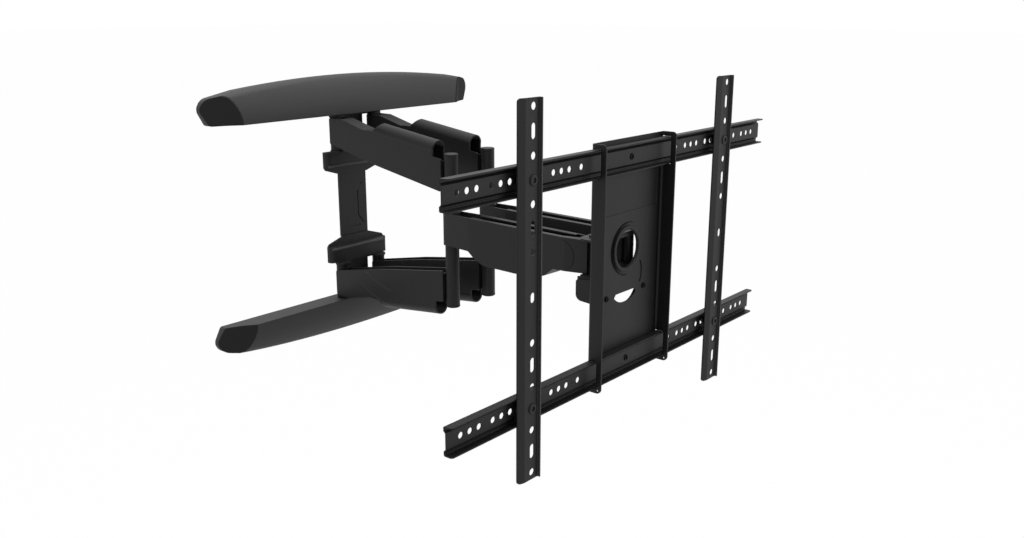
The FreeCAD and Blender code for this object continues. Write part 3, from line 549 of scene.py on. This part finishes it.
rail_heights = []
for name in ("horizontal_rail_upper", "horizontal_rail_lower"):
    low, high = (Vector(corner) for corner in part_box(name))
    rail_heights.append((low.z + high.z) / 2)
for name, stands_for, finish, head, height, socket in (
        ("corner_socket_bolts", "rail_bolts", fastener_steel, 0.0062, 0.0014, 0.0030),
        ("centre_socket_bolts", "centre_bolts", oiled_steel, 0.0039, 0.0010, 0.0024)):
    low, high = (Vector(corner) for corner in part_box(stands_for))
    middles = (low.x + head, high.x - head) if stands_for == "rail_bolts" else ((low.x + high.x) / 2,)
    work = bmesh.new()
    for x in middles:
        for z in rail_heights:
            seat = Vector((x, low.y + height, z))
            socket_bolt(work, seat, head, height, socket, high.y - seat.y)
    piece_from(work, name, finish, "screen_frame", stands_for)

# %% [markdown]
# A bead runs along the front of each pressed foot. It stiffens the fold, and its paler coat is a painted
# highlight for the light from above. It is a bar with round ends, sunk by half its thickness into the
# plate: a plain bar whose two rims are beveled almost to its axis.

# %% Foot beads
bead_radius, bead_length = 0.0020, 0.104
bead_middle, bead_front, bead_height = -0.0030, -0.0186, 0.0638
along_x = Matrix.Rotation(math.pi / 2, 4, "Y")
work = bmesh.new()
for side in (1, -1):
    lie = Matrix.Translation((bead_middle, bead_front, side * bead_height)) @ along_x
    bead = bmesh.ops.create_cone(work, cap_ends=True, segments=24, radius1=bead_radius, radius2=bead_radius,
                                 depth=bead_length, matrix=lie)["verts"]
    rims = [e for e in edges_between(work, bead) if abs(e.verts[0].co.x - e.verts[1].co.x) < merge_distance]
    round_edges(work, rims, bead_radius * 0.9, 6)
piece_from(work, "foot_beads", bead_highlight_steel, "wall", creased=False)

# %% [markdown]
# At the head end of each front arm the outer lip broadens into a flat flange, which ties the side plate
# to the knuckle. On the real arm it is the same sheet, folded. Here a strip of four quads is laid along
# the arm, one long edge on the plate's taper and the other fanning out to the middle. Then it is
# thickened and its upper edges are rounded.

# %% Arm flanges
flange_start, flange_end = -0.463, -0.4965
flange_low, flange_sheet, flange_round = 0.0252, 0.0020, 0.0006
taper_start, knuckle = -0.469, -0.503
plate_half, knuckle_half, lip_width, past_middle = 0.0142, 0.0088, 0.0072, 0.002
pivot_half, wall_pivot, lean = 0.03675, -0.019, math.tan(math.radians(2.4))
for side, body in ((-1, "front_left"), (1, "front_right")):
    work = bmesh.new()
    bmesh.ops.create_grid(work, x_segments=1, y_segments=4, size=0.5)
    for v in work.verts:
        along, across = v.co.y + 0.5, v.co.x + 0.5
        y = flange_start + (flange_end - flange_start) * along
        drawn_in = max(0.0, (taper_start - y) / (taper_start - knuckle))
        outer_edge = plate_half + (knuckle_half - plate_half) * drawn_in
        inner_edge = (plate_half - lip_width) * (1 - along) - past_middle * along
        arm_middle = side * pivot_half + (y - wall_pivot) * lean
        v.co = (arm_middle + side * (outer_edge + (inner_edge - outer_edge) * across), y, flange_low)
    top = raise_faces(work, work.faces[:], flange_sheet)
    rim = [e for e in edges_between(work, top) if e.calc_face_angle(0) > 1]
    round_edges(work, rim, flange_round, 3)
    piece_from(work, "arm_flange_" + body.split("_")[1], steel, body)

# %% [markdown]
# The studio is plain, and its pale floor lies well below the bracket. The floor's paint is matte to the
# lamps, and shows white to the camera and in reflections. One wide sheet is enough, because its far edge
# looks as white as the surround.

# %% Floor
white = (1, 1, 1, 1)
floor_paint, floor_white = (0.86, 0.86, 0.86, 1), 0.985
floor_half, floor_height = 40.0, -0.80


def white_floor():
    """Matte paint that shows white to the camera and in reflections."""
    paint = Finish("pale_floor_paint")
    seen = paint.node("ShaderNodeLightPath", {}, {}, "Is Camera Ray")
    mirrored = paint.node("ShaderNodeLightPath", {}, {}, "Is Glossy Ray")
    matte = paint.node("ShaderNodeBsdfDiffuse", {}, {"Color": floor_paint})
    glow = paint.node("ShaderNodeEmission", {}, {"Color": white, "Strength": 1.0})
    mixed = paint.node("ShaderNodeMixShader", {}, {0: (seen + mirrored) * floor_white, 1: matte, 2: glow})
    paint.node("ShaderNodeOutputMaterial", {}, {"Surface": mixed})
    return paint.material


sheet = bmesh.new()
bmesh.ops.create_grid(sheet, x_segments=1, y_segments=1, size=floor_half)
bmesh.ops.translate(sheet, verts=sheet.verts, vec=(0, 0, floor_height))
floor_mesh = bpy.data.meshes.new("floor")
sheet.to_mesh(floor_mesh)
sheet.free()
floor = bpy.data.objects.new("floor", floor_mesh)
floor.data.materials.append(white_floor())
bpy.context.scene.collection.objects.link(floor)
print("floor at", floor_height)

# %% [markdown]
# The surround is white to the camera and in reflections, so the satin steel has something pale to mirror.
# It lights the object less than that, because full white from every side would leave no shade in the
# folds.

# %% Surround
surround_light = 0.38
world = bpy.data.worlds.new("studio")
bpy.context.scene.world = world
world.use_nodes = True
surround = Network(world.node_tree)
seen = surround.node("ShaderNodeLightPath", {}, {}, "Is Camera Ray")
mirrored = surround.node("ShaderNodeLightPath", {}, {}, "Is Glossy Ray")
through = surround.node("ShaderNodeLightPath", {}, {}, "Is Transmission Ray")
shown = seen + mirrored + through
level = surround.node("ShaderNodeMapRange", {}, {"Value": shown, "To Min": surround_light})
sky = surround.node("ShaderNodeBackground", {}, {"Color": white, "Strength": level})
surround.node("ShaderNodeOutputWorld", {}, {"Surface": sky})
print("surround lights at", surround_light)

# %% [markdown]
# Two soft lamps light the bracket. The wide one above draws the pale upper edges of the arms and covers,
# and a weaker one in front on the right fills the panel and the rails. Large lamps near a small object
# give soft shadows, which suit satin black better than a hard spot.

# %% Lamps
def soft_lamp(name, place, target, size, power):
    """A rectangular lamp at a place, turned to its target."""
    lamp = bpy.data.lights.new(name, "AREA")
    lamp.shape = "RECTANGLE"
    lamp.size, lamp.size_y = size
    lamp.energy = power
    holder = bpy.data.objects.new(name, lamp)
    holder.location = place
    holder.rotation_euler = (Vector(target) - Vector(place)).to_track_quat("-Z", "Y").to_euler()
    bpy.context.scene.collection.objects.link(holder)


bracket_middle = (0, -0.27, 0)
soft_lamp("overhead", place=(0.0, -0.2, 2.3), target=bracket_middle, size=(2.4, 1.6), power=64)
soft_lamp("front_right", place=(1.7, -2.9, 0.8), target=bracket_middle, size=(2.0, 2.0), power=18)
print("lamps ready")

# %% [markdown]
# The camera stands left of the bracket and a little above it, where the lines of holes in the rails run
# to the same points in the picture as in the photograph. It was worked out from those holes.

# %% Camera
camera_place = (-0.9996, -1.1662, 0.3001)
turn = math.radians(-50.0)
lift = math.radians(15.05)
back = Vector((math.sin(turn) * math.cos(lift), -math.cos(turn) * math.cos(lift), math.sin(lift)))
right = Vector((0, 0, 1)).cross(back).normalized()
up = back.cross(right)
lens = bpy.data.cameras.new("camera")
lens.sensor_width = 36.0
lens.lens = 34.93
lens.clip_end = 200.0
camera = bpy.data.objects.new("camera", lens)
axes = Matrix((right, up, back)).transposed().to_4x4()
camera.matrix_world = Matrix.Translation(camera_place) @ axes
bpy.context.scene.collection.objects.link(camera)
bpy.context.scene.camera = camera
bpy.context.scene.view_settings.view_transform = "Standard"
print("camera at", [round(v, 3) for v in camera.location])
